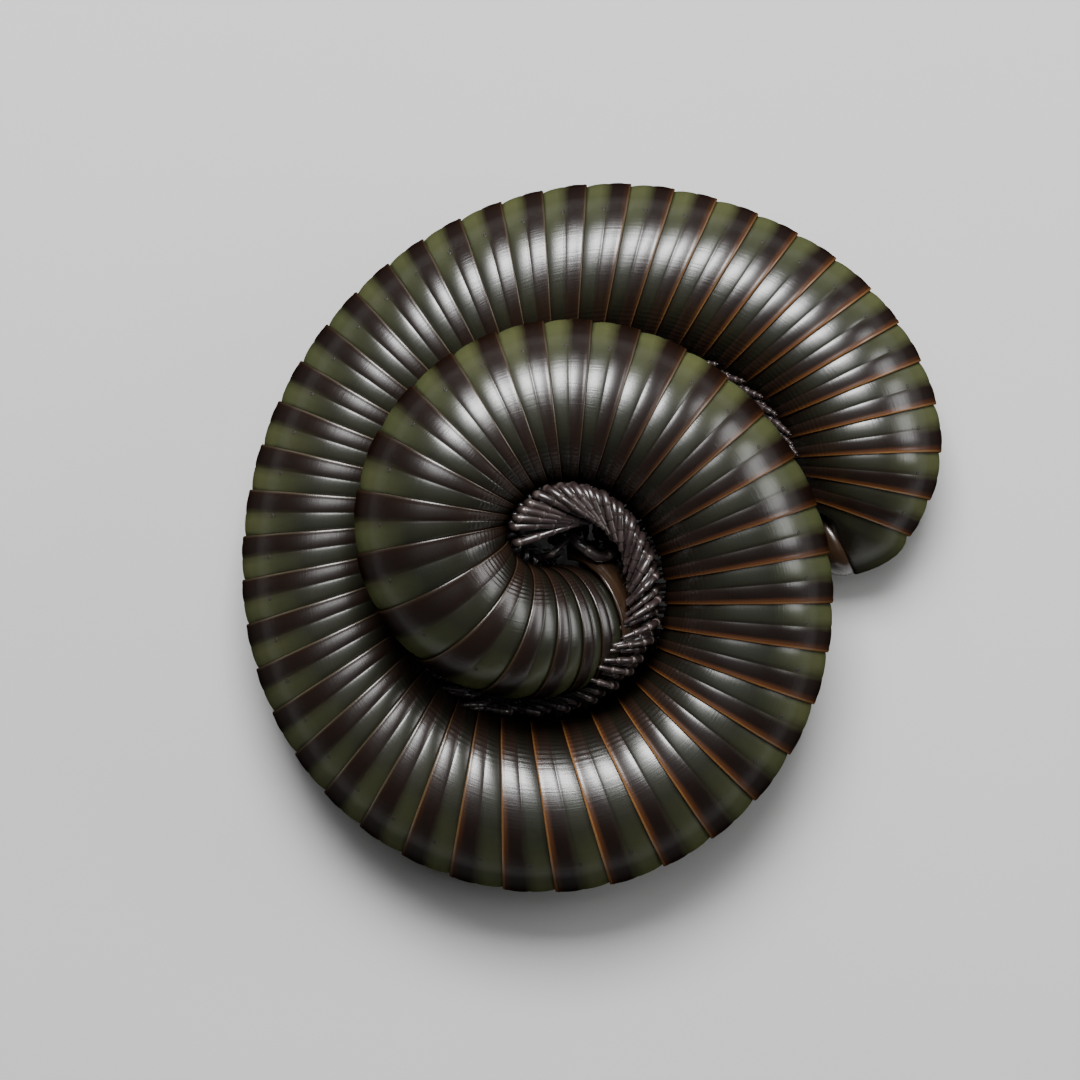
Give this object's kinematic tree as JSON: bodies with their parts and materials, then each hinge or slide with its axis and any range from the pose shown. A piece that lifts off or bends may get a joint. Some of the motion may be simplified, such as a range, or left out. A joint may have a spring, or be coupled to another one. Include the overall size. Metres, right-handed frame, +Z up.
{
  "type": "millipede model",
  "caption": "Life-size still model of a giant olive and dark brown ringed millipede, coiled on its side with its head tucked into the middle.",
  "frame": {"origin": "bottom centre of the model's bounding box, on the floor that the coil lies on", "axes": "+Z up, away from the floor; the tail lies at +X and the coil runs anticlockwise, seen from above, from the tail to the head in the middle"},
  "size_m": [0.057, 0.0576, 0.0249],
  "materials": {
    "ring_shell": "glossy ringed shell, olive in front and dark brown behind on each ring",
    "dark_shell": "glossy dark brown shell",
    "horn": "glossy purplish brown horn",
    "eye": "glossy near black, many small lenses"
  },
  "bodies": {
    "root": {"anal_valve_left": "dark_shell", "anal_valve_right": "dark_shell", "antenna_left": "horn", "antenna_right": "horn", "collum": "dark_shell", "eye_left": "eye", "eye_right": "eye", "gnathochilarium": "horn", "head": "dark_shell", "mandible_left": "dark_shell", "mandible_right": "dark_shell", "rings_02_05": "ring_shell", "rings_06_13": "ring_shell", "rings_14_19": "ring_shell", "rings_20_25": "ring_shell", "rings_26_31": "ring_shell", "rings_32_37": "ring_shell", "rings_38_43": "ring_shell", "rings_44_49": "ring_shell", "rings_50_55": "ring_shell", "rings_56_61": "ring_shell", "rings_62_67": "ring_shell", "telson": "ring_shell"}
  },
  "joints": []
}
